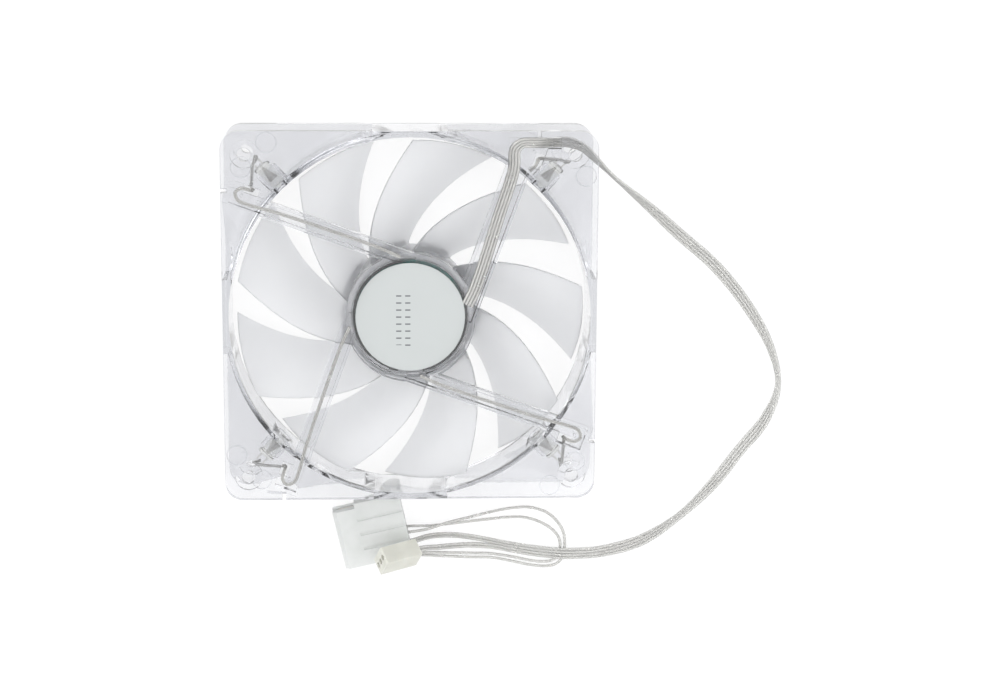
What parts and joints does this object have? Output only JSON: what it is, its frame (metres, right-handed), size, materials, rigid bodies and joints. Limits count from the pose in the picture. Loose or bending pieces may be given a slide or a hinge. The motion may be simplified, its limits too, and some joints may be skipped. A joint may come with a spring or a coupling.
{
  "type": "case fan",
  "caption": "Square clear-plastic case fan lying on its front face: pinwheel struts, corner lights, swept impeller, flat ribbon lead to a large plug and a small plug.",
  "frame": {"origin": "on the spin axis at the housing's front face, which lies on the surface", "axes": "+Z along the spin axis towards the strut and label side; +X and +Y along the housing's square sides, with the ribbon leaving on the +X side near the +Y corner"},
  "size_m": [0.185, 0.151, 0.025],
  "materials": {
    "clear_housing": "clear polished polycarbonate with a faint violet-grey cast",
    "frosted_blade": "translucent polycarbonate, slightly frosted",
    "steel": "satin",
    "ferrite": "dull bonded ferrite",
    "bronze": "sintered, oiled",
    "copper_wire": "enamelled copper winding",
    "white_nylon": "milky moulded nylon",
    "ivory_nylon": "ivory moulded nylon",
    "black_nylon": "black moulded",
    "board_green": "green-blue solder mask",
    "tinned_metal": "tinned, bright",
    "label_foil": "silver-grey printed film",
    "light_lens": "clear epoxy, faint yellow",
    "clear_wire": "clear sleeve over a tinned stranded core"
  },
  "bodies": {
    "housing": {"frame": "clear_housing", "sleeve_bearing": "bronze", "thrust_washer": "black_nylon", "bearing_cap": "white_nylon", "stator_core": "steel", "bobbin_front": "white_nylon", "bobbin_rear": "white_nylon", "coil_1": "copper_wire", "coil_2": "copper_wire", "coil_3": "copper_wire", "coil_4": "copper_wire", "circuit_board": "board_green", "driver_chip": "black_nylon", "board_capacitor": "tinned_metal", "label": "label_foil", "corner_light_1": "light_lens", "corner_light_2": "light_lens", "corner_light_3": "light_lens", "corner_light_4": "light_lens", "light_lead_1": "clear_wire", "light_lead_2": "clear_wire", "light_lead_3": "clear_wire", "light_lead_4": "clear_wire", "ribbon_lead": "clear_wire", "power_ribbon": "clear_wire", "drive_pair": "clear_wire", "fan_pair": "clear_wire", "jumper_outer": "clear_wire", "jumper_inner": "clear_wire", "drive_plug": "white_nylon", "drive_plug_contact_1": "tinned_metal", "drive_plug_contact_2": "tinned_metal", "drive_plug_contact_3": "tinned_metal", "drive_plug_contact_4": "tinned_metal", "fan_plug": "ivory_nylon", "fan_plug_contact_1": "tinned_metal", "fan_plug_contact_2": "tinned_metal", "fan_plug_contact_3": "tinned_metal"},
    "rotor": {"impeller": "frosted_blade", "flux_ring": "steel", "rotor_magnet": "ferrite", "shaft": "steel", "retaining_clip": "black_nylon"}
  },
  "joints": [
    {"name": "impeller_spin", "type": "hinge", "parent": "housing", "child": "rotor", "pos_m": [0, 0, 0.0125], "axis": [0, 0, 1], "continuous": true}
  ]
}
